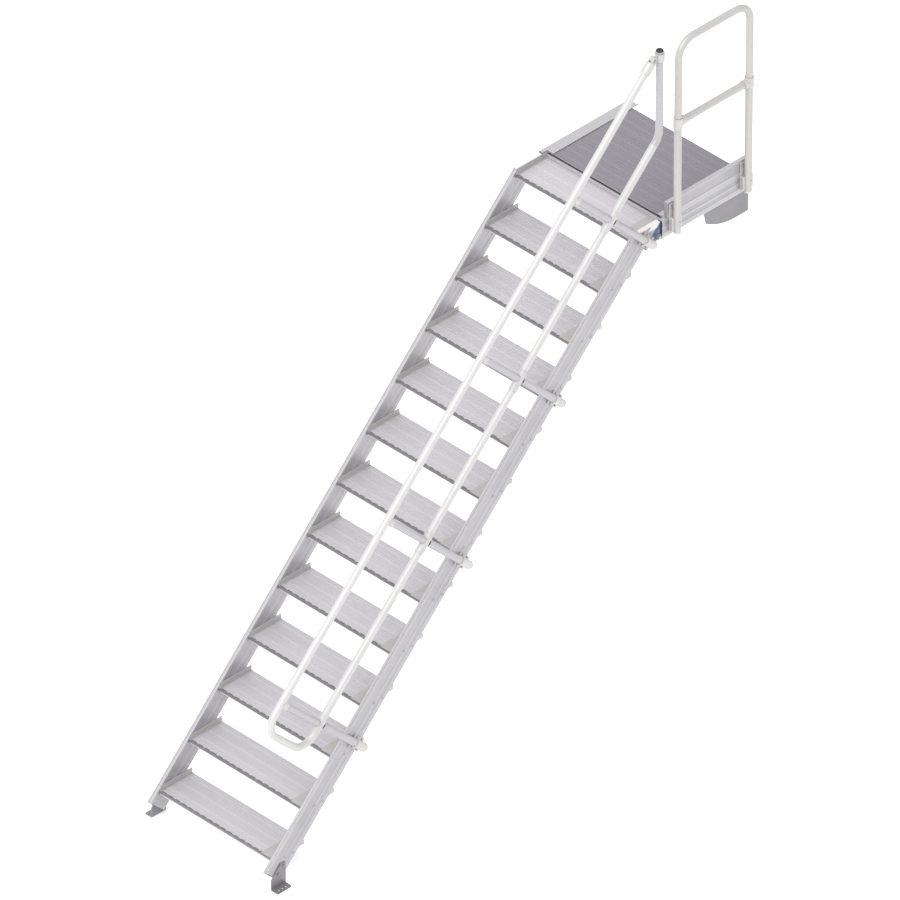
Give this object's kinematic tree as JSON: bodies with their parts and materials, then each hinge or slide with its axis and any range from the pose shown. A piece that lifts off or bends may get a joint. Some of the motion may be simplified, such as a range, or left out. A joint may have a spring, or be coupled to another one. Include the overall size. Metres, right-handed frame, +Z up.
{
  "type": "aluminium stair with platform",
  "caption": "Straight aluminium stair flight with open ribbed treads, a tubular handrail on one side and a small wall-fixed platform with a bent guard rail.",
  "frame": {"origin": "underside of the right foot's flange, in its row of anchor holes, halfway between the first two, straight below the nosing of the lowest tread", "axes": "+X the direction of climbing, towards the wall, +Y to the climber's left, +Z up"},
  "size_m": [3.4295, 0.9573, 3.791],
  "materials": {
    "aluminium_profile": "mill, drawn along its length",
    "tread_plank": "mill, ribbed",
    "tread_shoe": "matt",
    "deck_board": "dark, ribbed",
    "dark_bracket": "zinc grey",
    "rail_tube": "pale satin",
    "post_tube": "satin",
    "rail_fitting": "cast, blasted",
    "light_plastic": "moulded",
    "blue_plastic": "moulded",
    "black_plastic": "moulded"
  },
  "bodies": {
    "root": {"beam_end_plates": "black_plastic", "cross_beams": "aluminium_profile", "deck_nosing": "deck_board", "deck_planks": "deck_board", "foot_left": "dark_bracket", "foot_right": "dark_bracket", "glide_strips": "blue_plastic", "guard_brackets": "rail_fitting", "guard_hoop": "rail_tube", "guard_knee_rail": "rail_tube", "guard_tees": "rail_fitting", "handrail_end_loop": "rail_tube", "handrail_knee_rail": "rail_tube", "handrail_post_1": "post_tube", "handrail_post_2": "post_tube", "handrail_post_3": "post_tube", "handrail_post_4": "post_tube", "handrail_riser": "rail_tube", "handrail_top_rail": "rail_tube", "joint_brackets": "dark_bracket", "platform_beam_left": "aluminium_profile", "platform_beam_right": "aluminium_profile", "post_caps": "light_plastic", "post_clamps": "rail_fitting", "rail_fittings": "rail_fitting", "riser_cap": "black_plastic", "stringer_caps": "light_plastic", "stringer_end_caps": "black_plastic", "stringer_left": "aluminium_profile", "stringer_right": "aluminium_profile", "swivel_connector": "rail_fitting", "toe_board": "aluminium_profile", "tread_01": "tread_plank", "tread_02": "tread_plank", "tread_03": "tread_plank", "tread_04": "tread_plank", "tread_05": "tread_plank", "tread_06": "tread_plank", "tread_07": "tread_plank", "tread_08": "tread_plank", "tread_09": "tread_plank", "tread_10": "tread_plank", "tread_11": "tread_plank", "tread_12": "tread_plank", "tread_13": "tread_plank", "tread_shoes_left": "tread_shoe", "tread_shoes_right": "tread_shoe", "wall_brackets": "dark_bracket"}
  },
  "joints": []
}
